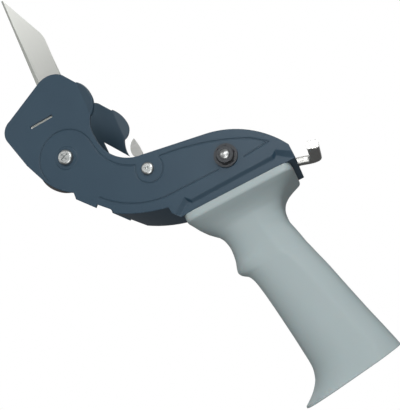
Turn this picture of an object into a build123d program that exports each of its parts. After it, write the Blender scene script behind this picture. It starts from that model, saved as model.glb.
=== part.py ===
from build123d import *
import math
import os

# A hand-held packing tape dispenser with a pistol grip.
# Millimetres. X runs back from the cutting end towards the hand, Y runs across the channel away
# from the full side plate, and Z is up. The origin is on the tape hub's axis, midway across.

# Pressed steel channel
SHEET = 1.5
WIDTH = 62.0
NEAR = -WIDTH / 2
FAR = WIDTH / 2
INNER_NEAR = NEAR + SHEET
INNER_FAR = FAR - SHEET
WEB_BOTTOM = -20.0
WEB_TOP = WEB_BOTTOM + SHEET
WEB_FRONT = -76.5
WEB_REAR = 35.5

# Ears, whose rear corners are folded outwards along an upright bend
EAR_BEND_X = -65.7
EAR_BEND_LOW = 65.8
EAR_BEND_HIGH = 90.8
EAR_FOLD = 25.0
EAR_FOLD_RADIUS = 1.0
SLOT_CENTRE = (-97.2, 78.6)
SLOT_SIZE = (16.8, 1.9)
TAB_RECESS = 0.8

# Dent pressed in along the plate's foot: its rim on the plate's face, and its floor
DENT_DEPTH = 2.0
DENT_RIM = [(-43.0, -17.0), (-33.6, -10.6), (-30.6, -13.6), (24.0, -13.0), (27.2, -10.8), (33.9, -15.2),
            (38.0, -18.4)]
DENT_FLOOR = [(-40.2, -18.6), (-32.8, -13.4), (-30.2, -15.8), (23.6, -15.2), (26.2, -13.6), (31.4, -17.6),
              (38.0, -22.0)]
DENT_FOOT = -26.0

# Pressed lines on the plate's face
LINE_WIDTH = 0.8
LINE_DEPTH = 0.35
ROLLER_LINE_RADIUS = 18.6
SEAT_RADIUS = 7.6
SEAT_HEIGHT = 0.35

# Axes across the channel, as X and Z
ROLLER_AXIS = (-91.0, 48.0)
LEVER_AXIS = (-46.2, 16.0)
HUB_AXIS = (0.0, 0.0)

# Tape roller
ROLLER_RADIUS = 15.5
CORE_RADIUS = 11.0
GUIDE_RADIUS = 21.8
GUIDE_THICKNESS = 1.6
AXLE_RADIUS = 3.0
RUNNING_GAP = 0.05
BUSH_RADIUS = 5.5
BUSH_LENGTH = 9.0

# Tape hub and its brake
HUB_RADIUS = 9.0
HUB_BOLT_RADIUS = 3.0
HUB_LENGTH = 48.0
HUB_BUSH_RADIUS = 5.0
NUT_FLATS = 10.0

# Thumb lever, bent from rectangular bar
BAR_WIDTH = 7.0
BAR_HEIGHT = 4.8
BAR_EDGE = 1.5
BAR_START = -BAR_WIDTH / 2
BAR_END = BAR_START + BAR_WIDTH
BAR_LOW = WEB_TOP + 0.1
BAR_TOP = BAR_LOW + BAR_HEIGHT
LEVER_PIN_RADIUS = 3.0
LEVER_EYE_RADIUS = 7.5
TAIL_X = 36.5
TAIL_LENGTH = 11.1
TAIL_ANGLE = -18.0
TAIL_BEND = 8.0
POST_BEND = 5.0
POST_REACH = -35.3
FINGER_SHEET = 1.6
FINGER_END = BAR_END + FINGER_SHEET
SHOE_THICKNESS = 1.9

# Wiper leaf and blade
LEAF_SHEET = 1.2
LEAF_X = -91.2
LEAF_TOP = 173.3
LEAF_WIDTH = WIDTH - 4.0
LEAF_CORNER = 5.0
LEAF_RIM = 3.0
RIM_TOP = 153.2
FOOT_TOP = SLOT_CENTRE[1] + LEAF_SHEET / 2
BLADE_SHEET = 0.9
BLADE_LENGTH = 54.0
BLADE_BACK = -93.0
TOOTH_ROOT = -115.0
TOOTH_TIP = -118.5
TEETH = 22
BLADE_SCREW_X = -99.0
BLADE_SCREW_Y = 16.0

# Grip, as stations down its length: Z, front X, rear X, half thickness, corner radius
GRIP_TOP = WEB_BOTTOM - 0.1
GRIP_FLANGE = 5.4
GRIP_FLANGE_EDGE = 2.4
GRIP_FRONT = -39.6
GRIP_REAR = 31.4
GRIP_STATIONS = [
    (-24.9, -39.2, 30.2, 29.4, 6.5),
    (-28.0, -37.8, 26.8, 26.6, 8.5),
    (-32.0, -33.8, 20.2, 22.6, 9.5),
    (-37.0, -28.6, 16.0, 19.0, 9.5),
    (-46.0, -25.4, 14.5, 16.6, 9.5),
    (-55.0, -26.0, 16.4, 16.0, 9.5),
    (-61.0, -27.6, 17.8, 16.0, 9.5),
    (-68.0, -22.2, 19.9, 16.0, 9.5),
    (-78.0, -19.0, 23.0, 16.0, 9.5),
    (-98.0, -16.0, 28.4, 16.2, 9.5),
    (-118.0, -13.4, 33.4, 16.8, 9.5),
    (-131.0, -12.1, 37.0, 17.4, 9.5),
    (-144.0, -18.6, 40.6, 18.2, 9.5),
    (-156.0, -27.5, 43.8, 18.6, 9.5),
]
GRIP_END_FRONT = (-25.4, -150.6)
GRIP_END_REAR = (40.5, -139.2)
GRIP_SCREWS = [(x, y) for x in (-20.0, 12.0) for y in (-17.0, 17.0)]
INSERT_RADIUS = 2.8


def across(profile, start, end):
    """The solid of an XZ profile, from one distance across the channel to another."""
    return extrude(Plane.XZ.offset(-start) * profile, amount=start - end)


def disc(centre, radius, start, end):
    """A round bar across the channel."""
    return across(Pos(*centre) * Circle(radius), start, end)


def ring(centre, outer, inner, start, end):
    """A tube or washer across the channel."""
    return across(Pos(*centre) * (Circle(outer) - Circle(inner)), start, end)


def nose_path():
    """Ear, front edge, roller nose and hanging tab, from the ear's fold round to the web."""
    return [
        Line((EAR_BEND_X, EAR_BEND_HIGH), (-72.3, 100.7)),
        ThreePointArc((-72.3, 100.7), (-80.3, 104.8), (-88.8, 103.8)),
        Line((-88.8, 103.8), (-117.0, 90.3)),
        ThreePointArc((-117.0, 90.3), (-122.9, 85.6), (-123.6, 77.6)),
        Line((-123.6, 77.6), (-117.4, 56.4)),
        Line((-117.4, 56.4), (-111.6, 43.5)),
        ThreePointArc((-111.6, 43.5), (-105.2, 33.4), (-95.6, 25.3)),
        Polyline((-95.6, 25.3), (-95.8, 20.6), (-86.3, 9.7), (-84.7, 11.2), (-78.0, 4.4), (-76.5, 0.7)),
    ]


def fold_line():
    """The upright bend that ends an ear's flat face."""
    return Line((EAR_BEND_X, EAR_BEND_LOW), (EAR_BEND_X, EAR_BEND_HIGH))


def belly_curve():
    """The channel's lower edge from the front of the web to the grip."""
    return ThreePointArc((-76.5, 0.7), (-61.6, -6.7), (-44.8, -11.6))


def near_profile():
    """The full side plate: rear edge, humped top, concave throat, ear, nose and foot."""
    foot = Polyline((-44.8, -11.6), (-44.0, -16.1), (-40.6, WEB_BOTTOM), (WEB_REAR, WEB_BOTTOM),
                    (WEB_REAR, -11.6))
    top = [
        ThreePointArc((WEB_REAR, -11.6), (20.4, 6.4), (-4.0, 18.0)),
        Line((-4.0, 18.0), (-46.0, 25.9)),
        ThreePointArc((-46.0, 25.9), (-62.3, 34.4), (-68.7, 51.5)),
        ThreePointArc((-68.7, 51.5), (-68.5, 59.5), (EAR_BEND_X, EAR_BEND_LOW)),
    ]
    return make_face(Curve() + [belly_curve(), foot] + top + [fold_line()] + nose_path())


def far_profile():
    """The far cheek: ear and nose only, cut away behind the roller so that tape loads sideways."""
    rear = [
        ThreePointArc((-44.8, -11.6), (-62.0, -2.0), (-79.5, 22.0)),
        Polyline((-79.5, 22.0), (-80.7, 71.8), (-67.4, 52.4)),
        ThreePointArc((-67.4, 52.4), (-67.6, 59.6), (EAR_BEND_X, EAR_BEND_LOW)),
    ]
    return make_face(Curve() + [belly_curve()] + rear + [fold_line()] + nose_path())


def ear_corner(side):
    """One ear's rear corner, folded outwards: a bend, and the corner turned about the bend's axis."""
    outer = side * FAR
    inner = side * INNER_FAR
    corner = make_face(Curve() + [
        fold_line(),
        ThreePointArc((EAR_BEND_X, EAR_BEND_HIGH), (-61.2, 84.0), (-59.5, 76.2)),
        ThreePointArc((-59.5, 76.2), (-61.2, 69.7), (EAR_BEND_X, EAR_BEND_LOW)),
    ])
    axis = Axis((EAR_BEND_X, side * (FAR + EAR_FOLD_RADIUS), 0), (0, 0, side))
    flat = across(corner, min(outer, inner), max(outer, inner))
    middle = (EAR_BEND_LOW + EAR_BEND_HIGH) / 2
    section = Plane(origin=(EAR_BEND_X, (outer + inner) / 2, middle), x_dir=(0, 1, 0),
                    z_dir=(1, 0, 0)) * Rectangle(SHEET, EAR_BEND_HIGH - EAR_BEND_LOW)
    return flat.rotate(axis, EAR_FOLD) + revolve(section, axis, EAR_FOLD)


def web():
    """The channel's floor: the belly's curve at sheet thickness, from side to side."""
    slope = Polyline((-44.8, -11.6), (-36.0, -17.2), (-30.0, WEB_BOTTOM), (WEB_REAR, WEB_BOTTOM))
    lid = Polyline((WEB_REAR, WEB_BOTTOM), (WEB_REAR + 20, WEB_BOTTOM), (WEB_REAR + 20, 40), (-100, 40),
                   (-76.5, 0.7))
    under = make_face(Curve() + [belly_curve(), slope, lid])
    floor = under - offset(under, amount=-SHEET, kind=Kind.INTERSECTION)
    floor &= make_face(Polyline((WEB_FRONT, -30), (WEB_REAR, -30), (WEB_REAR, -14), (-30, -10), (-60, 2),
                                (WEB_FRONT, 6), close=True))
    return across(floor, NEAR, FAR)


def dent_form(rim, floor, start, end):
    """The dent's tapered form between two depths, closed below the plate's foot."""
    faces = []
    for points, y in ((rim, start), (floor, end)):
        outline = [(points[0][0], DENT_FOOT)] + points + [(points[-1][0], DENT_FOOT)]
        faces.append(Plane.XZ.offset(-y) * make_face(Polyline(*outline, close=True)))
    return loft(faces, ruled=True)


def dented(body):
    """Presses the foot of the side plate inwards over the grip's flange, at constant sheet thickness."""
    rim_wall = [(x - SHEET if x < DENT_RIM[2][0] else x, z + SHEET) for x, z in DENT_RIM]
    floor_wall = [(x - SHEET if x < DENT_FLOOR[2][0] else x, z + SHEET) for x, z in DENT_FLOOR]
    wall = dent_form(rim_wall, floor_wall, NEAR, NEAR + DENT_DEPTH + SHEET)
    body += wall & across(near_profile(), NEAR, NEAR + DENT_DEPTH + SHEET)
    body -= dent_form(DENT_RIM, DENT_FLOOR, NEAR, NEAR + DENT_DEPTH)
    outline = [(DENT_RIM[0][0], DENT_FOOT)] + DENT_RIM + [(DENT_RIM[-1][0], DENT_FOOT)]
    return body - across(make_face(Polyline(*outline, close=True)), NEAR - 1, NEAR)


def pressed_lines():
    """The lines pressed into the plate's face, as the grooves that they leave."""
    throat = [
        ThreePointArc((-72.0, 49.7), (-66.9, 33.5), (-52.6, 21.9)),
        Line((-52.6, 21.9), (-53.8, 18.4)),
        ThreePointArc((-53.8, 18.4), (-45.4, 6.8), (-36.9, 18.2)),
    ]
    back = [
        ThreePointArc((-36.9, 19.8), (-11.2, 14.5), (17.1, 2.8)),
        Line((17.1, 2.8), (25.6, -4.3)),
        Line((25.6, -4.3), (9.2, -5.6)),
    ]
    belly = [
        Line((-7.4, -5.4), (-44.0, -4.9)),
        ThreePointArc((-44.0, -4.9), (-62.4, 0.2), (-81.3, 14.4)),
    ]
    circle = [CenterArc(ROLLER_AXIS, ROLLER_LINE_RADIUS, 5, 200)]
    grooves = []
    for line in (throat, back, belly, circle):
        grooves.append(across(trace(Curve() + line, LINE_WIDTH), NEAR - 1, NEAR + LINE_DEPTH))
    return grooves


def frame():
    """Side plate, web and far cheek in one pressing, with the ears' folds, dent, lines, slots and holes."""
    body = web() + across(near_profile(), NEAR, INNER_NEAR) + across(far_profile(), INNER_FAR, FAR)
    body = dented(body)
    body += ear_corner(-1) + ear_corner(1)
    for groove in pressed_lines():
        body -= groove
    seat = disc(ROLLER_AXIS, SEAT_RADIUS, NEAR - SEAT_HEIGHT, NEAR)
    body += chamfer(seat.edges().group_by(Axis.Y)[0], SEAT_HEIGHT * 0.8)
    body -= across(Pos(*SLOT_CENTRE) * SlotOverall(*SLOT_SIZE), NEAR - 1, FAR + 1)
    body -= disc(ROLLER_AXIS, AXLE_RADIUS + 0.1, NEAR - 1, FAR + 1)
    body -= disc(LEVER_AXIS, LEVER_PIN_RADIUS, NEAR - 1, INNER_NEAR + 1)
    body -= disc(HUB_AXIS, HUB_BOLT_RADIUS + 0.1, NEAR - 1, INNER_NEAR + 1)
    for x, y in GRIP_SCREWS:
        body -= Pos(x, y, WEB_BOTTOM) * Cylinder(2.2, 10)
    return body


def grip():
    """A moulded pistol grip: flange under the web, waist, finger stop and flared foot."""
    sections = []
    for z, front, rear, half, corner in GRIP_STATIONS:
        middle = (front + rear) / 2
        sections.append(Pos(middle, 0, z) * RectangleRounded(rear - front, 2 * half, corner))
    body = loft(sections)
    end = Line(GRIP_END_FRONT, GRIP_END_REAR)
    middle = end @ 0.5
    along = end % 0
    below = Rectangle(3 * end.length, end.length, align=(Align.CENTER, Align.MAX))
    below = Pos(middle.X, middle.Y) * (Rot(0, 0, math.degrees(math.atan2(along.Y, along.X))) * below)
    body -= across(below, NEAR, FAR)
    flange = Pos((GRIP_FRONT + GRIP_REAR) / 2, 0, GRIP_TOP - GRIP_FLANGE) * extrude(
        RectangleRounded(GRIP_REAR - GRIP_FRONT, WIDTH - 0.6, 6.0), GRIP_FLANGE)
    flange = fillet(flange.edges().group_by(Axis.Z)[0], GRIP_FLANGE_EDGE)
    body += flange
    for x, y in GRIP_SCREWS:
        body -= Pos(x, y, WEB_BOTTOM) * Cylinder(INSERT_RADIUS, 26)
    return body


def roller():
    """Rubber sleeve, flanged plastic core, two bushes, and the long screw that carries them."""
    start = INNER_NEAR + 1.2
    end = INNER_FAR - 1.2
    sleeve_start = start + GUIDE_THICKNESS + 0.1
    core = ring(ROLLER_AXIS, CORE_RADIUS, BUSH_RADIUS, start, end)
    core += ring(ROLLER_AXIS, GUIDE_RADIUS, BUSH_RADIUS, start, start + GUIDE_THICKNESS)
    sleeve = ring(ROLLER_AXIS, ROLLER_RADIUS, CORE_RADIUS, sleeve_start, end - 0.3)
    hole = AXLE_RADIUS + RUNNING_GAP
    bushes = Compound([
        ring(ROLLER_AXIS, BUSH_RADIUS, hole, start, start + BUSH_LENGTH),
        ring(ROLLER_AXIS, BUSH_RADIUS, hole, end - BUSH_LENGTH, end),
    ])
    washers = Compound([
        ring(ROLLER_AXIS, 7.0, AXLE_RADIUS + 0.1, INNER_NEAR, start - 0.2),
        ring(ROLLER_AXIS, 7.0, AXLE_RADIUS + 0.1, end + 0.2, INNER_FAR),
    ])
    screw = disc(ROLLER_AXIS, AXLE_RADIUS, NEAR - SEAT_HEIGHT, FAR + 6.5)
    screw += pan_head(ROLLER_AXIS, NEAR - SEAT_HEIGHT, 4.9, 2.9)
    nut = hex_nut(ROLLER_AXIS, NUT_FLATS, AXLE_RADIUS, FAR, FAR + 5.0)
    return {"roller_core": core, "roller_sleeve": sleeve, "roller_bushes": bushes,
            "roller_washers": washers, "roller_screw": screw, "roller_nut": nut}


def pan_head(centre, seat, radius, height):
    """A pan head standing out from the near side, with a cross recess."""
    head = disc(centre, radius, seat - height, seat)
    rim = head.edges().group_by(Axis.Y)[0]
    head = fillet(rim, height * 0.5)
    cross = Rectangle(radius * 1.05, 1.2) + Rectangle(1.2, radius * 1.05)
    cross = Pos(*centre) * (Rot(0, 0, 20) * cross)
    return head - across(cross, seat - height - 1, seat - height + 1.3)


def hex_nut(centre, flats, bore, start, end):
    """A plain hexagon nut across the channel, its corners turned off at the near end."""
    hexagon = RegularPolygon(flats / 2, 6, major_radius=False) - Circle(bore)
    body = across(Pos(*centre) * hexagon, start, end)
    corners = disc(centre, flats / 2 * 1.17, start, end)
    return body & chamfer(corners.edges().group_by(Axis.Y)[0], flats * 0.09)


def hub():
    """The tape hub on its bolt: flange nut outside, spring, pressure washer and hand knob inside."""
    start = INNER_NEAR + 2.0
    end = start + HUB_LENGTH
    body = ring(HUB_AXIS, HUB_RADIUS, HUB_BUSH_RADIUS, start, end)
    body += ring(HUB_AXIS, HUB_RADIUS + 1.0, HUB_BUSH_RADIUS, start, start + 1.5)
    bushes = Compound([
        ring(HUB_AXIS, HUB_BUSH_RADIUS, HUB_BOLT_RADIUS + RUNNING_GAP, start, start + 8),
        ring(HUB_AXIS, HUB_BUSH_RADIUS, HUB_BOLT_RADIUS + RUNNING_GAP, end - 8, end),
    ])
    friction = ring(HUB_AXIS, 8.0, HUB_BOLT_RADIUS + 0.1, INNER_NEAR, start - 0.1)
    bolt = disc(HUB_AXIS, HUB_BOLT_RADIUS, NEAR - 4.9, end + 13.0)
    bolt = chamfer(bolt.edges().group_by(Axis.Y)[0], 0.4)
    nut = hex_nut(HUB_AXIS, NUT_FLATS, HUB_BOLT_RADIUS, NEAR - 4.0, NEAR - 1.0)
    nut += ring(HUB_AXIS, 7.2, HUB_BOLT_RADIUS, NEAR - 1.4, NEAR)
    washer = ring(HUB_AXIS, 7.5, HUB_BOLT_RADIUS + 0.1, end + 0.1, end + 1.1)
    knob = ring(HUB_AXIS, 8.5, HUB_BOLT_RADIUS + RUNNING_GAP, end + 6.2, end + 12.0)
    return {"tape_hub": body, "hub_bushes": bushes, "hub_friction_washer": friction, "hub_bolt": bolt,
            "hub_flange_nut": nut, "hub_pressure_washer": washer, "tension_knob": knob,
            "hub_spring": coil(HUB_AXIS, 5.2, 0.7, 3, end + 1.1, end + 6.1)}


def coil(centre, radius, wire, turns, start, end):
    """A compression spring as closed rings, one for each turn, so that it stays light."""
    pitch = (end - start - 2 * wire) / (turns - 1)
    loops = []
    for i in range(turns):
        y = start + wire + i * pitch
        loops.append(Pos(centre[0], y, centre[1]) * (Rot(90, 0, 0) * Torus(radius, wire)))
    return Compound(loops)


def lever_tail():
    """The lever's drooped tail and its post to the near side, swept from bar with rounded edges."""
    middle_y = (BAR_START + BAR_END) / 2
    middle_z = (BAR_LOW + BAR_TOP) / 2
    droop = math.radians(TAIL_ANGLE)
    corner_x = TAIL_X + TAIL_LENGTH * math.cos(droop)
    corner_z = middle_z + TAIL_LENGTH * math.sin(droop)
    path = FilletPolyline((TAIL_X - 10, middle_y, middle_z), (TAIL_X, middle_y, middle_z),
                          (corner_x, middle_y, corner_z), (corner_x, POST_REACH, corner_z),
                          radius=[TAIL_BEND, POST_BEND])
    plane = Plane(origin=path @ 0, x_dir=(0, 1, 0), z_dir=path % 0)
    return sweep(plane * RectangleRounded(BAR_WIDTH, BAR_HEIGHT, BAR_EDGE), path=path)


def lever():
    """The thumb lever: eye on the pin, flat arm along the web, drooped tail, post, finger and shoe."""
    arm = make_face(Polyline(
        (LEVER_AXIS[0] - 4.5, 10.5), (-39.5, -9.0), (-29.0, BAR_LOW + 0.6), (-26.0, BAR_LOW),
        (TAIL_X - 5, BAR_LOW), (TAIL_X - 5, BAR_TOP), (-26.0, BAR_TOP), (-34.5, -6.0),
        (LEVER_AXIS[0] + 6.5, 18.0), close=True))
    bar = across(arm, BAR_START, BAR_END) + disc(LEVER_AXIS, LEVER_EYE_RADIUS, BAR_START, BAR_END)
    bar += lever_tail()
    bar -= disc(LEVER_AXIS, LEVER_PIN_RADIUS + RUNNING_GAP, BAR_START - 1, BAR_END + 1)
    claw = make_face(Curve() + [
        Line((-49.5, 12.0), (-52.2, 38.4)),
        ThreePointArc((-52.2, 38.4), (-52.6, 45.9), (-53.6, 52.2)),
        ThreePointArc((-53.6, 52.2), (-58.0, 48.2), (-59.1, 42.9)),
        ThreePointArc((-59.1, 42.9), (-58.2, 40.6), (-56.0, 39.7)),
        Line((-56.0, 39.7), (-53.4, 12.0)),
        Line((-53.4, 12.0), (-49.5, 12.0)),
    ])
    finger = across(claw, BAR_END, FINGER_END)
    finger += ring(LEVER_AXIS, LEVER_EYE_RADIUS, LEVER_PIN_RADIUS + 0.3, BAR_END, FINGER_END)
    finger -= disc(LEVER_AXIS, LEVER_PIN_RADIUS + 0.3, BAR_END - 1, FINGER_END + 1)
    shoe = Pos(0, 0, BAR_TOP + SHOE_THICKNESS / 2) * Box(16, BAR_WIDTH - 1, SHOE_THICKNESS)
    return {"brake_lever": bar, "brake_finger": finger, "brake_shoe": shoe}


def lever_mount():
    """The domed pin that carries the lever, its spacer and clip, and the lever's return spring."""
    pin = disc(LEVER_AXIS, LEVER_PIN_RADIUS, NEAR, FINGER_END + 4.6)
    dome = disc(LEVER_AXIS, 4.0, NEAR - 2.0, NEAR)
    dome = fillet(dome.edges().group_by(Axis.Y)[0], 1.6)
    dome -= Pos(LEVER_AXIS[0], NEAR - 2.4, LEVER_AXIS[1]) * Sphere(1.2)
    spacer = ring(LEVER_AXIS, 5.0, LEVER_PIN_RADIUS + RUNNING_GAP, INNER_NEAR, BAR_START - 0.2)
    clip = ring(LEVER_AXIS, 5.4, LEVER_PIN_RADIUS, FINGER_END + 0.6, FINGER_END + 1.4)
    return {"lever_pin": pin + dome, "lever_spacer": spacer, "lever_clip": clip,
            "lever_spring": coil(LEVER_AXIS, 6.0, 0.8, 4, -16.0, -8.0)}


def wiper():
    """The wiper leaf with its side rims, foot and tabs, and the toothed blade screwed on the foot."""
    half = LEAF_WIDTH / 2
    leaf = Pos(LEAF_X + LEAF_SHEET / 2, 0, (FOOT_TOP + LEAF_TOP) / 2) * Box(
        LEAF_SHEET, LEAF_WIDTH, LEAF_TOP - FOOT_TOP)
    corner = leaf.edges().filter_by(Axis.X).sort_by(Axis.Z)[-2:].sort_by(Axis.Y)[-1]
    plate = fillet(corner, LEAF_CORNER)
    rim = make_face(Polyline((LEAF_X, FOOT_TOP), (LEAF_X + LEAF_RIM, FOOT_TOP),
                             (LEAF_X + LEAF_SHEET, RIM_TOP), (LEAF_X, RIM_TOP), close=True))
    plate += across(rim, -half, -half + LEAF_SHEET) + across(rim, half - LEAF_SHEET, half)
    centre = Pos(SLOT_CENTRE[0], 0, SLOT_CENTRE[1])
    plate += centre * Box(SLOT_SIZE[0] - 1.4, LEAF_WIDTH, LEAF_SHEET)
    plate += centre * Box(SLOT_SIZE[0] - 1.6, WIDTH - 2 * TAB_RECESS, LEAF_SHEET)
    blade_top = SLOT_CENTRE[1] - LEAF_SHEET / 2
    pitch = BLADE_LENGTH / TEETH
    points = [(BLADE_BACK, -BLADE_LENGTH / 2), (TOOTH_ROOT, -BLADE_LENGTH / 2)]
    for i in range(TEETH):
        y = -BLADE_LENGTH / 2 + i * pitch
        points += [(TOOTH_TIP, y + pitch / 2), (TOOTH_ROOT, y + pitch)]
    points.append((BLADE_BACK, BLADE_LENGTH / 2))
    outline = make_face(Polyline(*points, close=True))
    blade = Pos(0, 0, blade_top - BLADE_SHEET) * extrude(outline, BLADE_SHEET)
    screws = []
    nuts = []
    for y in (-BLADE_SCREW_Y, BLADE_SCREW_Y):
        hole = Pos(BLADE_SCREW_X, y, blade_top) * Cylinder(2.1, 12)
        plate -= hole
        blade -= hole
        seat = Pos(BLADE_SCREW_X, y, FOOT_TOP)
        head = seat * Cylinder(3.8, 2.2, align=(Align.CENTER, Align.CENTER, Align.MIN))
        stem = seat * Cylinder(2.0, 6.4, align=(Align.CENTER, Align.CENTER, Align.MAX))
        screws.append(head + stem)
        nut = RegularPolygon(3.5, 6, major_radius=False) - Circle(2.0)
        nuts.append(Pos(BLADE_SCREW_X, y, blade_top - BLADE_SHEET - 3.0) * extrude(nut, 3.0))
    return {"wiper_plate": plate, "cutting_blade": blade, "blade_screws": Compound(screws),
            "blade_nuts": Compound(nuts)}


def grip_fixings():
    """Four screws down through the web into threaded inserts in the grip."""
    screws = []
    inserts = []
    for x, y in GRIP_SCREWS:
        seat = Pos(x, y, WEB_TOP)
        head = seat * Cylinder(3.8, 1.6, align=(Align.CENTER, Align.CENTER, Align.MIN))
        stem = seat * Cylinder(2.0, 12.5, align=(Align.CENTER, Align.CENTER, Align.MAX))
        screws.append(head + stem)
        insert = Cylinder(INSERT_RADIUS, 8.0) - Cylinder(2.0, 12.0)
        inserts.append(Pos(x, y, WEB_BOTTOM - 6.0) * insert)
    return {"grip_screws": Compound(screws), "grip_inserts": Compound(inserts)}


nodes = {"frame": frame(), "grip": grip()}
nodes.update(roller())
nodes.update(hub())
nodes.update(lever())
nodes.update(lever_mount())
nodes.update(wiper())
nodes.update(grip_fixings())

os.makedirs("parts", exist_ok=True)
for name, shape in nodes.items():
    export_step(shape, f"parts/{name}.step")
    print(name, [round(v, 1) for v in shape.bounding_box().size])
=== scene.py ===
import math

import bpy
import numpy as np
from mathutils import Matrix, Vector


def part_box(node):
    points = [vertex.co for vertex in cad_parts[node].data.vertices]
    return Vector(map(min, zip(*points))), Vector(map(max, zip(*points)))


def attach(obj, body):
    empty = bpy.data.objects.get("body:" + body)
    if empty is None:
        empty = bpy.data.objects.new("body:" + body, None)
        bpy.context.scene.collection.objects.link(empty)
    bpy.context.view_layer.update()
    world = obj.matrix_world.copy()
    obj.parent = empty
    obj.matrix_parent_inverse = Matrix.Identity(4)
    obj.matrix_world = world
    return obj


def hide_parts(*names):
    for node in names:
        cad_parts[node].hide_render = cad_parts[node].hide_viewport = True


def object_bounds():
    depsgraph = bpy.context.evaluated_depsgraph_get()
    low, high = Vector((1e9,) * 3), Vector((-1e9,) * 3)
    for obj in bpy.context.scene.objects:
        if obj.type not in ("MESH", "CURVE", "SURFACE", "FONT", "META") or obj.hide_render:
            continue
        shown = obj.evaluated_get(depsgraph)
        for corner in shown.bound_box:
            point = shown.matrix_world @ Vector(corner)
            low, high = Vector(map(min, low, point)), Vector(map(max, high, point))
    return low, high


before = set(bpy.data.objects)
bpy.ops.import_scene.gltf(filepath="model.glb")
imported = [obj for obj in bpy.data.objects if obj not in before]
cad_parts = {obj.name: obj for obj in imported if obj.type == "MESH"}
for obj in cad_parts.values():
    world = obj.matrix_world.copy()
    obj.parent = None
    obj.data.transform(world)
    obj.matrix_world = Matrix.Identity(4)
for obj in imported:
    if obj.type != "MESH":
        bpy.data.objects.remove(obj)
cad_low, cad_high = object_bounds()

# Camera and light. The tool hangs nose down to the left, seen from a little below its full side plate.
# Soft boxes stand above the lens, under it, to its left and in two places behind the tool. A small one
# draws the highlight along the grip's ridge. The room's own glow comes more from above than from below.
VIEW_TURN = math.radians(8.86)
VIEW_RISE = math.radians(14.15)
VIEW_ROLL = math.radians(25.35)
CAMERA_PLACE = Vector((0.02889, -0.38775, -0.11044))
FOCAL_PIXELS = 630.0
LONG_SIDE_PIXELS = 410.0
SENSOR = 36.0

forward = Vector((
    -math.sin(VIEW_TURN) * math.cos(VIEW_RISE),
    math.cos(VIEW_TURN) * math.cos(VIEW_RISE),
    math.sin(VIEW_RISE),
))
level_right = forward.cross(Vector((0, 0, 1))).normalized()
level_up = level_right.cross(forward)
camera_right = level_right * math.cos(VIEW_ROLL) - level_up * math.sin(VIEW_ROLL)
camera_up = level_up * math.cos(VIEW_ROLL) + level_right * math.sin(VIEW_ROLL)
camera_data = bpy.data.cameras.new("camera")
camera_data.sensor_width = SENSOR
camera_data.lens = FOCAL_PIXELS / LONG_SIDE_PIXELS * SENSOR
camera_data.clip_start = 0.01
camera = bpy.data.objects.new("camera", camera_data)
camera.matrix_world = Matrix.Translation(CAMERA_PLACE) @ Matrix(
    (camera_right, camera_up, -forward)).transposed().to_4x4()
bpy.context.collection.objects.link(camera)
bpy.context.scene.camera = camera
bpy.context.scene.view_settings.view_transform = "Standard"


def soft_light(name, side, height, front, size, power):
    """A round soft box that faces the tool's middle. It stands so many metres to the right of it, above
    it and in front of it, as the camera sees them."""
    data = bpy.data.lights.new(name, "AREA")
    data.shape = "DISK"
    data.size = size
    data.energy = power
    light = bpy.data.objects.new(name, data)
    centre = (cad_low + cad_high) / 2
    place = centre + camera_right * side + camera_up * height - forward * front
    light.location = place
    light.rotation_mode = "QUATERNION"
    light.rotation_quaternion = (place - centre).to_track_quat("Z", "Y")
    bpy.context.collection.objects.link(light)


soft_light("main_light", side=0.25, height=0.8, front=0.7, size=0.9, power=6.0)
soft_light("front_light", side=0.1, height=-0.45, front=1.1, size=0.8, power=8.5)
soft_light("left_light", side=-1.0, height=0.3, front=0.35, size=0.7, power=2.0)
soft_light("small_light", side=-0.28, height=0.49, front=0.94, size=0.22, power=3.2)
soft_light("back_light", side=0.2, height=0.9, front=-0.7, size=0.7, power=2.6)
soft_light("rear_light", side=-0.6, height=0.6, front=-1.0, size=0.9, power=9.0)


class Wire:
    """One output among a material's or the room's nodes. Sums and products of wires become Math nodes."""

    def __init__(self, tree, socket=None):
        self.tree = tree
        self.socket = socket

    def add(self, kind, settings, sockets, output=0):
        """Adds a node: its settings first, then a value or a wire for each socket; gives its output."""
        node = self.tree.nodes.new("ShaderNode" + kind)
        for name, value in settings.items():
            setattr(node, name, value)
        for name, value in sockets.items():
            if isinstance(value, Wire):
                self.tree.links.new(value.socket, node.inputs[name])
            else:
                node.inputs[name].default_value = value
        return Wire(self.tree, node.outputs[output])

    def math(self, operation, first, second):
        """Adds a Math node on two numbers or wires."""
        return self.add("Math", {"operation": operation}, {0: first, 1: second})

    def __add__(self, other):
        return self.math("ADD", self, other)

    def __radd__(self, other):
        return self.math("ADD", other, self)

    def __rsub__(self, other):
        return self.math("SUBTRACT", other, self)

    def __mul__(self, other):
        return self.math("MULTIPLY", self, other)

    def __rmul__(self, other):
        return self.math("MULTIPLY", other, self)


room = bpy.data.worlds.new("studio")
room.use_nodes = True
background = room.node_tree.nodes["Background"]
background.inputs["Color"].default_value = (1.0, 1.0, 1.0, 1.0)
direction = Wire(room.node_tree).add("TexCoord", {}, {}, "Generated")
steepness = direction.add("SeparateXYZ", {}, {"Vector": direction}, "Z")
glow = direction.add("MapRange", {"interpolation_type": "SMOOTHSTEP"}, {
    "Value": steepness, "From Min": -0.5, "From Max": 0.5, "To Min": 0.08, "To Max": 0.40})
room.node_tree.links.new(glow.socket, background.inputs["Strength"])
bpy.context.scene.world = room


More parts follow.
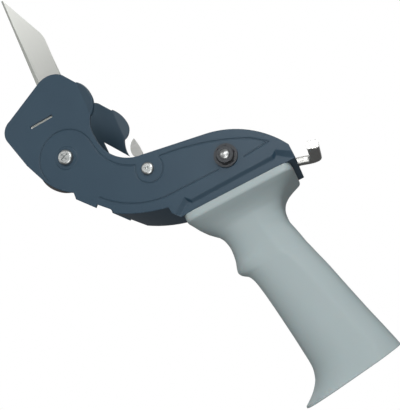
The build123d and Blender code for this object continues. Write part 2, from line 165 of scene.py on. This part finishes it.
# Frame: one channel of 1.5 mm steel, blanked, pressed and folded, then powder coated in slate blue.
# Blanking rolls the sheet's edges over a little, and the coat draws them rounder still. Their paler blue is
# a painted highlight.
class Finish(Wire):
    """A material: one Principled shader, fed by noise and masks on the object's own coordinates."""

    def __init__(self, name, **uniform):
        self.material = bpy.data.materials.new(name)
        self.material.use_nodes = True
        super().__init__(self.material.node_tree)
        self.shader = self.tree.nodes["Principled BSDF"]
        for socket, value in uniform.items():
            self.shader.inputs[socket.replace("_", " ")].default_value = value
        self.place = self.add("TexCoord", {}, {}, "Object")

    def noise(self, size, detail=3.0, stretch=(1.0, 1.0, 1.0)):
        """Noise whose grains are so many metres across, drawn out along an axis by a small stretch."""
        place = self.add("Mapping", {}, {"Vector": self.place, "Scale": stretch})
        return self.add("TexNoise", {}, {"Vector": place, "Scale": 1.0 / size, "Detail": detail}, "Fac")

    def step(self, value, start, end):
        """0 below start, 1 above end, smooth between."""
        return self.add("MapRange", {"interpolation_type": "SMOOTHSTEP"},
                        {"Value": value, "From Min": start, "From Max": end})

    def blend(self, share, first, second):
        """Two colours mixed by a share. A Mix node has its colours at inputs 6 and 7 and output 2."""
        return self.add("Mix", {"data_type": "RGBA"}, {0: share, 6: first, 7: second}, 2)

    def feed(self, **links):
        """Links values into the shader's sockets."""
        for socket, wire in links.items():
            self.tree.links.new(wire.socket, self.shader.inputs[socket.replace("_", " ")])

    def rounded(self, radius):
        """The normal of edges that are rolled over by so many metres."""
        return self.add("Bevel", {"samples": 6}, {"Radius": radius})

    def painted_highlight_mask(self, rolled, start, end):
        """Mask for a painted highlight: 0 on open faces and 1 on edges, from how far the rolled normal
        leaves the true one.
        """
        true = self.add("NewGeometry", {}, {}, "True Normal")
        facing = self.add("VectorMath", {"operation": "DOT_PRODUCT"}, {0: rolled, 1: true}, "Value")
        return self.step(1.0 - facing, start, end)

    def relief(self, height, depth, **over):
        """Surface relief of so many metres from a height between 0 and 1, over another normal if given."""
        sockets = {"Strength": 1.0, "Distance": depth, "Height": height, **over}
        self.feed(Normal=self.add("Bump", {}, sockets))

    def cover(self, *nodes):
        """Puts the material on CAD nodes."""
        for name in nodes:
            for node_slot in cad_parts[name].material_slots:
                node_slot.material = self.material


EDGE_ROUNDING = 0.0009
# Share of the paler blue painted on the edges as a highlight.
EDGE_HIGHLIGHT_SHARE = 0.5
COAT_TEXTURE = 0.00003

slate = Finish("slate_powder_coat", IOR=1.5, Specular_IOR_Level=0.35)
cloud = slate.noise(0.03)
pimples = slate.noise(0.0006, detail=2.0)
orange_peel = slate.noise(0.003, detail=2.0)
rolled = slate.rounded(EDGE_ROUNDING)
# Edges are blended towards a paler blue: a painted highlight where light catches the rolled edges.
edge_highlight = slate.painted_highlight_mask(rolled, start=0.06, end=0.5)
coat = slate.blend(cloud, (0.013, 0.034, 0.056, 1.0), (0.020, 0.046, 0.070, 1.0))
slate.feed(
    Base_Color=slate.blend(edge_highlight * EDGE_HIGHLIGHT_SHARE, coat, (0.060, 0.090, 0.115, 1.0)),
    Roughness=0.42 + 0.12 * pimples,
)
slate.relief(pimples + 2.0 * orange_peel, COAT_TEXTURE, Normal=rolled)
slate.cover("frame")

# Grip: one hollow moulding in pale grey-green plastic, screwed up against the channel's floor. Its skin
# is spark-eroded: even and matt. A soft ridge runs down each side, and a lobe stops the finger.
MM = 0.001
GRIP_ROWS = [
    # front x, front z, rear x, rear z, half width, front squareness, rear squareness,
    # place of the ridge, fall behind it, fall ahead of it
    (-39.6, -20.1, 31.4, -20.1, 30.7, 10.0, 10.0, 0.60, 0.00, 0.00),
    (-39.6, -23.3, 31.4, -23.2, 30.7, 10.0, 10.0, 0.60, 0.00, 0.00),
    (-39.4, -24.6, 31.1, -24.4, 30.3, 10.0, 10.0, 0.60, 0.00, 0.00),
    (-38.8, -25.6, 30.3, -25.2, 29.4, 9.0, 9.0, 0.60, 0.00, 0.00),
    (-38.0, -27.0, 28.7, -26.2, 27.9, 7.0, 8.0, 0.59, 0.00, 0.00),
    (-36.6, -29.4, 25.6, -28.1, 25.2, 5.5, 7.0, 0.58, 0.02, 0.01),
    (-33.2, -32.8, 20.8, -31.3, 21.8, 4.5, 6.0, 0.58, 0.05, 0.02),
    (-28.9, -37.0, 17.0, -35.4, 19.0, 3.8, 5.5, 0.59, 0.11, 0.04),
    (-26.2, -42.0, 14.9, -40.6, 17.4, 3.2, 5.0, 0.60, 0.17, 0.06),
    (-25.3, -47.5, 14.5, -46.0, 16.6, 2.9, 5.0, 0.62, 0.22, 0.07),
    (-26.0, -54.5, 16.1, -53.0, 16.2, 2.7, 5.0, 0.64, 0.25, 0.08),
    (-27.4, -59.6, 17.4, -58.4, 16.2, 2.7, 5.0, 0.65, 0.25, 0.08),
    (-27.8, -62.0, 18.0, -61.0, 16.2, 2.7, 5.0, 0.65, 0.25, 0.08),
    (-26.8, -64.2, 18.6, -63.6, 16.2, 2.7, 5.0, 0.66, 0.25, 0.08),
    (-22.8, -67.2, 19.6, -66.8, 16.2, 2.7, 5.0, 0.67, 0.25, 0.08),
    (-20.8, -71.0, 20.8, -71.0, 16.2, 2.6, 5.0, 0.68, 0.25, 0.08),
    (-18.6, -81.0, 23.8, -81.0, 16.2, 2.5, 5.0, 0.69, 0.25, 0.08),
    (-16.0, -98.0, 28.2, -98.0, 16.3, 2.4, 5.0, 0.71, 0.25, 0.08),
    (-13.4, -118.0, 33.3, -117.0, 16.9, 2.3, 5.0, 0.73, 0.25, 0.08),
    (-12.2, -130.0, 36.2, -127.0, 17.4, 2.3, 5.0, 0.75, 0.25, 0.08),
    (-13.4, -136.6, 37.4, -131.4, 17.8, 2.4, 5.0, 0.76, 0.25, 0.08),
    (-17.6, -143.0, 38.5, -135.4, 18.1, 2.6, 5.0, 0.77, 0.25, 0.08),
    (-23.0, -147.7, 39.1, -137.9, 18.4, 2.8, 5.0, 0.78, 0.25, 0.08),
    (-25.3, -149.5, 39.4, -138.9, 18.5, 2.8, 5.0, 0.78, 0.25, 0.08),
    (-25.3, -150.3, 39.2, -139.4, 18.2, 2.8, 5.0, 0.78, 0.25, 0.08),
    (-24.6, -150.5, 38.4, -139.6, 17.4, 2.8, 5.0, 0.78, 0.25, 0.08),
]
ROWS_BETWEEN = 8
HALF_AROUND = 96
RIDGE_SOFTNESS = 0.012
LOBE_FRONT = -27.0
LOBE_HEIGHT = -61.5
LOBE_SLOPE = 0.16
LOBE_SPREAD = 2.6
LOBE_SWELL = 1.0
LOBE_FADE = 0.35
SPARK_TEXTURE = 0.00003


def eased(rows, steps):
    """Curves through the rows of a table, so many steps from row to row. Between two rows each value
    follows the cubic whose slopes are the harmonic means of the rises on either side, or nought at a
    turning point, so that nothing overshoots."""
    rows = np.array(rows, float)
    rise = np.diff(rows, axis=0)
    product = rise[1:] * rise[:-1]
    together = np.where(product > 0, rise[1:] + rise[:-1], 1.0)
    slope = np.concatenate([rise[:1], np.where(product > 0, 2 * product / together, 0.0), rise[-1:]])
    t = (np.arange(steps) / steps)[None, :, None]
    spans = ((2 * t**3 - 3 * t**2 + 1) * rows[:-1, None] + (t**3 - 2 * t**2 + t) * slope[:-1, None]
             + (3 * t**2 - 2 * t**3) * rows[1:, None] + (t**3 - t**2) * slope[1:, None])
    return np.concatenate([spans.reshape(-1, rows.shape[1]), rows[-1:]])


def skin(name, grid, body, node, finish, hoop=False):
    """A closed smooth surface over rings of points, which stands for a CAD node. Row i of the grid is a
    ring. The rows join into a hoop, or else each end ring closes on its own middle. Where the volume
    that the faces enclose comes out negative, they are turned to point outwards."""
    rings, around = grid.shape[:2]
    points = grid.reshape(-1, 3) * MM
    i, j = np.meshgrid(np.arange(rings if hoop else rings - 1), np.arange(around), indexing="ij")
    below = (i + 1) % rings
    beside = (j + 1) % around
    faces = np.stack([i * around + j, i * around + beside, below * around + beside, below * around + j], -1)
    faces = faces.reshape(-1, 4)
    first, second, third = points[faces[:, 0]], points[faces[:, 1]], points[faces[:, 2]]
    way_round = -1 if (first * np.cross(second, third)).sum() < 0 else 1
    faces = faces[:, ::way_round].tolist()
    if not hoop:
        here = np.arange(around)
        following = np.roll(here, -1)
        last_ring = len(points) - around
        first_middle = np.full(around, len(points))
        start_cap = np.stack([following, here, first_middle], -1)
        end_cap = np.stack([last_ring + here, last_ring + following, first_middle + 1], -1)
        faces += np.concatenate([start_cap, end_cap])[:, ::way_round].tolist()
        points = np.concatenate([points, grid[[0, -1]].mean(axis=1) * MM])
    mesh = bpy.data.meshes.new(name)
    mesh.from_pydata(points.tolist(), [], faces)
    mesh.polygons.foreach_set("use_smooth", np.ones(len(mesh.polygons), bool))
    mesh.materials.append(finish.material)
    piece = bpy.data.objects.new(name, mesh)
    bpy.context.collection.objects.link(piece)
    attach(piece, body)
    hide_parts(node)


def grip_rings():
    """Each ring is a rounded box from the front outline to the rear one: half width times (1 - |2s - 1|
    to the power of the squareness) to its inverse, for s from 0 at the front to 1 at the rear. The side
    falls away softly on both sides of its ridge, and swells by a bell curve about the sloping line of
    the finger stop. The way round is gathered towards the front and the rear, where the curves are
    tight."""
    front_x, front_z, rear_x, rear_z, half, front_square, rear_square, ridge, rear_fall, front_fall = (
        column[:, None] for column in eased(GRIP_ROWS, ROWS_BETWEEN).T)
    round_trip = np.arange(2 * HALF_AROUND) / HALF_AROUND
    side = np.where(round_trip < 1, -1.0, 1.0)
    one_way = np.where(round_trip < 1, round_trip, 2 - round_trip)
    gathered = one_way**2 * (3 - 2 * one_way)
    s = gathered**2 * (3 - 2 * gathered)
    square = np.where(s < 0.5, front_square, rear_square)
    outline = (1 - np.abs(2 * s - 1)**square)**(1 / square)
    behind = RIDGE_SOFTNESS * np.logaddexp(0, (s - ridge) / RIDGE_SOFTNESS) / (1 - ridge)
    ahead = RIDGE_SOFTNESS * np.logaddexp(0, (ridge - s) / RIDGE_SOFTNESS) / ridge
    x = front_x + (rear_x - front_x) * s
    z = front_z + (rear_z - front_z) * s
    crease = np.exp(-((z - LOBE_HEIGHT - LOBE_SLOPE * (x - LOBE_FRONT)) / LOBE_SPREAD)**2)
    reach = np.clip((0.5 - s) / LOBE_FADE, 0, 1)
    swell = LOBE_SWELL * crease * reach**2 * (3 - 2 * reach)
    y = side * outline * (half * (1 - rear_fall * behind - front_fall * ahead) + swell)
    return np.stack([x, y, z], axis=-1)


pale = Finish("grip_moulding", IOR=1.46, Subsurface_Weight=0.08, Subsurface_Scale=0.004)
grain = pale.noise(0.0005, detail=2.0)
shade = pale.noise(0.05)
pale.feed(
    Base_Color=pale.blend(shade, (0.250, 0.300, 0.307, 1.0), (0.278, 0.330, 0.337, 1.0)),
    Roughness=0.46 + 0.12 * grain,
)
pale.relief(grain, SPARK_TEXTURE)
skin("grip_skin", grip_rings(), "frame", "grip", pale)

# Roller: a rubber sleeve on a flanged nylon core, running on two plain bushes. The tape hub and the
# tension knob are moulded in the same black nylon, and the brake's shoe in the same rubber.
rubber = Finish("roller_rubber", IOR=1.5)
bloom = rubber.noise(0.006)
rubber.feed(
    Base_Color=rubber.blend(bloom, (0.020, 0.018, 0.017, 1.0), (0.040, 0.036, 0.033, 1.0)),
    Roughness=0.62 + 0.2 * bloom,
)
rubber.cover("roller_sleeve", "brake_shoe", "hub_friction_washer")
nylon = Finish("black_nylon", IOR=1.5)
moulding_marks = nylon.noise(0.0008)
nylon.feed(
    Base_Color=nylon.blend(moulding_marks, (0.026, 0.025, 0.026, 1.0), (0.038, 0.037, 0.038, 1.0)),
    Roughness=0.38 + 0.15 * moulding_marks,
)
nylon.cover("roller_core", "tape_hub")
acetal = Finish("white_acetal", IOR=1.48)
haze = acetal.noise(0.004)
acetal.feed(
    Base_Color=acetal.blend(haze, (0.60, 0.59, 0.55, 1.0), (0.68, 0.67, 0.62, 1.0)),
    Roughness=0.35 + 0.1 * haze,
)
acetal.cover("roller_bushes", "hub_bushes")

# Hub bolt: an M6 stud in zinc-plated steel, with a rolled thread at both ends. The other plated pieces
# share its finish.
STEPS_AROUND = 72
THREAD_PITCH = 1.0
THREAD_DEPTH = 0.55
THREAD_LENGTH = 15.0
THREAD_RUN_OUT = 2.0
BOLT_CHAMFER = 0.4
RINGS_PER_PITCH = 8


def turned(profile, cut):
    """A surface turned about the hub's line. Profile rows give the distance along the line and the
    radius, and cut takes both with the angle and gives the radius that is left."""
    along, radius = np.array(profile, float).T[:, :, None]
    angle = np.linspace(0, 2 * np.pi, STEPS_AROUND, endpoint=False)[None, :]
    radius = cut(along, radius, angle)
    return np.stack([radius * np.cos(angle), along + 0 * angle, radius * np.sin(angle)], axis=-1)


zinc = Finish("bright_zinc", Metallic=1.0)
plate_cloud = zinc.noise(0.003)
zinc.feed(
    Base_Color=zinc.blend(plate_cloud, (0.32, 0.34, 0.34, 1.0), (0.50, 0.51, 0.50, 1.0)),
    Roughness=0.30 + 0.18 * plate_cloud,
)
zinc.cover("roller_screw", "roller_washers", "roller_nut", "lever_pin", "lever_clip", "lever_spacer",
           "grip_screws", "blade_screws", "blade_nuts", "hub_pressure_washer")

bolt_low, bolt_high = (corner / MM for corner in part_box("hub_bolt"))
bolt_radius = (bolt_high.x - bolt_low.x) / 2
threaded = np.arange(0, THREAD_LENGTH + THREAD_PITCH, THREAD_PITCH / RINGS_PER_PITCH)
shank = np.concatenate([bolt_low.y + threaded, (bolt_high.y - threaded)[::-1]])
chamfer = np.minimum(0, np.minimum(shank - bolt_low.y, bolt_high.y - shank) - BOLT_CHAMFER)
bolt_profile = np.stack([shank, bolt_radius + chamfer], -1)


def thread(along, radius, angle):
    """The flank falls and rises once a pitch along the bolt and once a turn, and runs out at the shank."""
    wave = np.abs(2 * ((along / THREAD_PITCH - angle / (2 * np.pi)) % 1) - 1)
    from_end = np.minimum(along - bolt_low.y, bolt_high.y - along)
    run_out = np.clip((THREAD_LENGTH - from_end) / THREAD_RUN_OUT, 0, 1)
    return radius - THREAD_DEPTH * wave * run_out * np.clip(from_end / BOLT_CHAMFER, 0, 1)


skin("hub_stud", turned(bolt_profile, thread), "frame", "hub_bolt", zinc)

# Tension knob: a fluted hand knob in black nylon. It is screwed on the bolt's far end, where it squeezes
# the hub through a spring.
KNOB_BORE = 3.05
KNOB_FACE = 6.4
KNOB_DISH = [(0.4, 5.6), (0.5, KNOB_BORE)]
KNOB_FLUTES = 14
KNOB_FLUTE_DEPTH = 0.55

knob_low, knob_high = (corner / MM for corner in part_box("tension_knob"))
knob_radius = (knob_high.x - knob_low.x) / 2
knob_rounding = [(0.0, KNOB_FACE), (0.2, 7.6), (0.9, knob_radius - 0.1), (1.3, knob_radius)]
knob_profile = [(knob_low.y, KNOB_BORE)]
knob_profile += [(knob_low.y + depth, radius) for depth, radius in knob_rounding]
knob_profile += [(knob_high.y - depth, radius) for depth, radius in knob_rounding[::-1] + KNOB_DISH]


def fluted(along, radius, angle):
    """Round flutes: the radius loses the cubed size of a cosine that peaks once a flute, and the more
    the nearer it is to the knob's full radius."""
    rim = np.clip((radius - KNOB_FACE) / (knob_radius - KNOB_FACE), 0, 1)
    return radius - KNOB_FLUTE_DEPTH * rim * np.abs(np.cos(KNOB_FLUTES / 2 * angle))**3


skin("knob_fluted", turned(knob_profile, fluted), "knob", "tension_knob", nylon, hoop=True)

# Springs: bright round wire, wound cold. One presses the pressure washer on the hub, and the other sits
# on the lever's pin and turns the lever down.
WIRE_RADIUS = 0.5
WIRE_AROUND = 14
STEPS_PER_TURN = 36
FLAT_TURN = 0.75


def wound(node, turns):
    """A coil along the CAD spring's line: the wire's middle climbs evenly, except over the flat part of
    a turn at each end, and a small circle is carried round it."""
    low, high = (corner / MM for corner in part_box(node))
    coil_radius = (high.x - low.x) / 2 - WIRE_RADIUS
    turn = np.linspace(0, turns, int(turns * STEPS_PER_TURN))[:, None]
    climb = np.clip((turn - FLAT_TURN) / (turns - 2 * FLAT_TURN), 0, 1)
    centre = low.y + WIRE_RADIUS + (high.y - low.y - 2 * WIRE_RADIUS) * climb
    round_wire = np.linspace(0, 2 * np.pi, WIRE_AROUND, endpoint=False)[None, :]
    reach = coil_radius + WIRE_RADIUS * np.cos(round_wire)
    angle = 2 * np.pi * turn
    return np.stack([
        (low.x + high.x) / 2 + reach * np.cos(angle),
        centre + WIRE_RADIUS * np.sin(round_wire),
        (low.z + high.z) / 2 + reach * np.sin(angle),
    ], axis=-1)


spring_wire = Finish("spring_wire", Metallic=1.0)
wire_marks = spring_wire.noise(0.0006)
spring_wire.feed(
    Base_Color=spring_wire.blend(wire_marks, (0.30, 0.30, 0.31, 1.0), (0.46, 0.46, 0.47, 1.0)),
    Roughness=0.28 + 0.15 * wire_marks,
)
skin("hub_coil", wound("hub_spring", turns=4.5), "frame", "hub_spring", spring_wire)
skin("lever_coil", wound("lever_spring", turns=7.0), "frame", "lever_spring", spring_wire)

# Flange nut and inserts: the nut is blackened steel with a trace of oil, and clamps the bolt to the side
# plate. The inserts are turned brass, set in the grip's plastic for its four screws.
oxide = Finish("black_oxide", Metallic=0.6)
oil = oxide.noise(0.002)
oxide.feed(
    Base_Color=oxide.blend(oil, (0.022, 0.024, 0.027, 1.0), (0.045, 0.048, 0.052, 1.0)),
    Roughness=0.38 + 0.2 * oil,
)
oxide.cover("hub_flange_nut")
brass = Finish("turned_brass", Metallic=1.0)
tarnish = brass.noise(0.002)
brass.feed(
    Base_Color=brass.blend(tarnish, (0.50, 0.34, 0.12, 1.0), (0.66, 0.47, 0.19, 1.0)),
    Roughness=0.3 + 0.15 * tarnish,
)
brass.cover("grip_inserts")

# Thumb lever: bar steel, bent to an L and left bright, that pivots on the domed pin. Its bright finger is
# cut from thinner sheet and sits on the same pin.
DRAWN_TEXTURE = 0.00002

bar = Finish("drawn_bar", Metallic=1.0)
draw_lines = bar.noise(0.0012, detail=4.0, stretch=(0.08, 1.0, 1.0))
bar.feed(
    Base_Color=bar.blend(draw_lines, (0.36, 0.36, 0.35, 1.0), (0.54, 0.54, 0.52, 1.0)),
    Roughness=0.34 + 0.2 * draw_lines,
)
bar.relief(draw_lines, DRAWN_TEXTURE)
bar.cover("brake_lever", "brake_finger")

# Wiper leaf and blade: bright sheet steel. The leaf is held by tabs in the ears' slots, and the toothed
# blade is screwed under its foot. The leaf's faces that turn along its width, its edges and rim, are
# painted darker than its rolled faces: painted shade.
leaf = Finish("leaf_plate", Metallic=0.7)
roll_lines = leaf.noise(0.0015, detail=4.0, stretch=(1.0, 1.0, 0.06))
facing = leaf.add("NewGeometry", {}, {}, "True Normal")
sideways = {0: facing, 1: (0.0, 1.0, 0.0)}
across = leaf.add("VectorMath", {"operation": "DOT_PRODUCT"}, sideways, "Value")
rolled_face = leaf.blend(roll_lines, (0.60, 0.61, 0.58, 1.0), (0.68, 0.69, 0.65, 1.0))
leaf.feed(
    # Faces turned along Y get the darker grey by how far they face that way: painted shade.
    Base_Color=leaf.blend(across * across, rolled_face, (0.30, 0.31, 0.29, 1.0)),
    Roughness=0.40 + 0.12 * roll_lines,
)
leaf.cover("wiper_plate")
ground = Finish("blade_steel", Metallic=1.0)
grind = ground.noise(0.0008, detail=4.0, stretch=(0.1, 1.0, 1.0))
ground.feed(
    Base_Color=ground.blend(grind, (0.46, 0.47, 0.48, 1.0), (0.62, 0.63, 0.64, 1.0)),
    Roughness=0.2 + 0.2 * grind,
)
ground.cover("cutting_blade")

# Studio: a plain white table under the lowest point of the tool, and a white dome round everything. Both
# glow evenly for the lens alone, so that the ground is pure white and the soft boxes shape the tool.
TABLE_REACH = 6.0
DOME_RADIUS = 8.0
DOME_STEPS = 48

white = Finish("studio_white", Base_Color=(0.0, 0.0, 0.0, 1.0), Emission_Color=(1.0, 1.0, 1.0, 1.0),
               Emission_Strength=1.0, Roughness=1.0, Specular_IOR_Level=0.0)


def backdrop(name, points, faces):
    """A white surface of the studio. Rays that leave the tool pass through it."""
    mesh = bpy.data.meshes.new(name)
    mesh.from_pydata(points.tolist(), [], faces.tolist())
    mesh.materials.append(white.material)
    surface = bpy.data.objects.new(name, mesh)
    for ray in ("diffuse", "glossy", "transmission", "volume_scatter", "shadow"):
        setattr(surface, "visible_" + ray, False)
    bpy.context.collection.objects.link(surface)


def dome():
    """A sphere's points by rise and turn, and the faces between neighbours, which close on themselves
    all round."""
    rise = np.linspace(-0.5, 0.5, DOME_STEPS)[:, None] * np.pi
    turn = np.linspace(0, 2, DOME_STEPS, endpoint=False)[None, :] * np.pi
    points = DOME_RADIUS * np.stack([
        np.cos(rise) * np.cos(turn), np.cos(rise) * np.sin(turn), np.sin(rise) + 0 * turn], -1)
    i, j = np.meshgrid(np.arange(DOME_STEPS - 1), np.arange(DOME_STEPS), indexing="ij")
    here, beside = i * DOME_STEPS + j, i * DOME_STEPS + (j + 1) % DOME_STEPS
    faces = np.stack([here, here + DOME_STEPS, beside + DOME_STEPS, beside], -1)
    return points.reshape(-1, 3), faces.reshape(-1, 4)


table_corners = np.array([(-1, -1, 0), (1, -1, 0), (1, 1, 0), (-1, 1, 0)], float) * TABLE_REACH
table_corners[:, 2] = cad_low.z
backdrop("table", table_corners, np.array([(0, 1, 2, 3)]))
backdrop("dome", *dome())
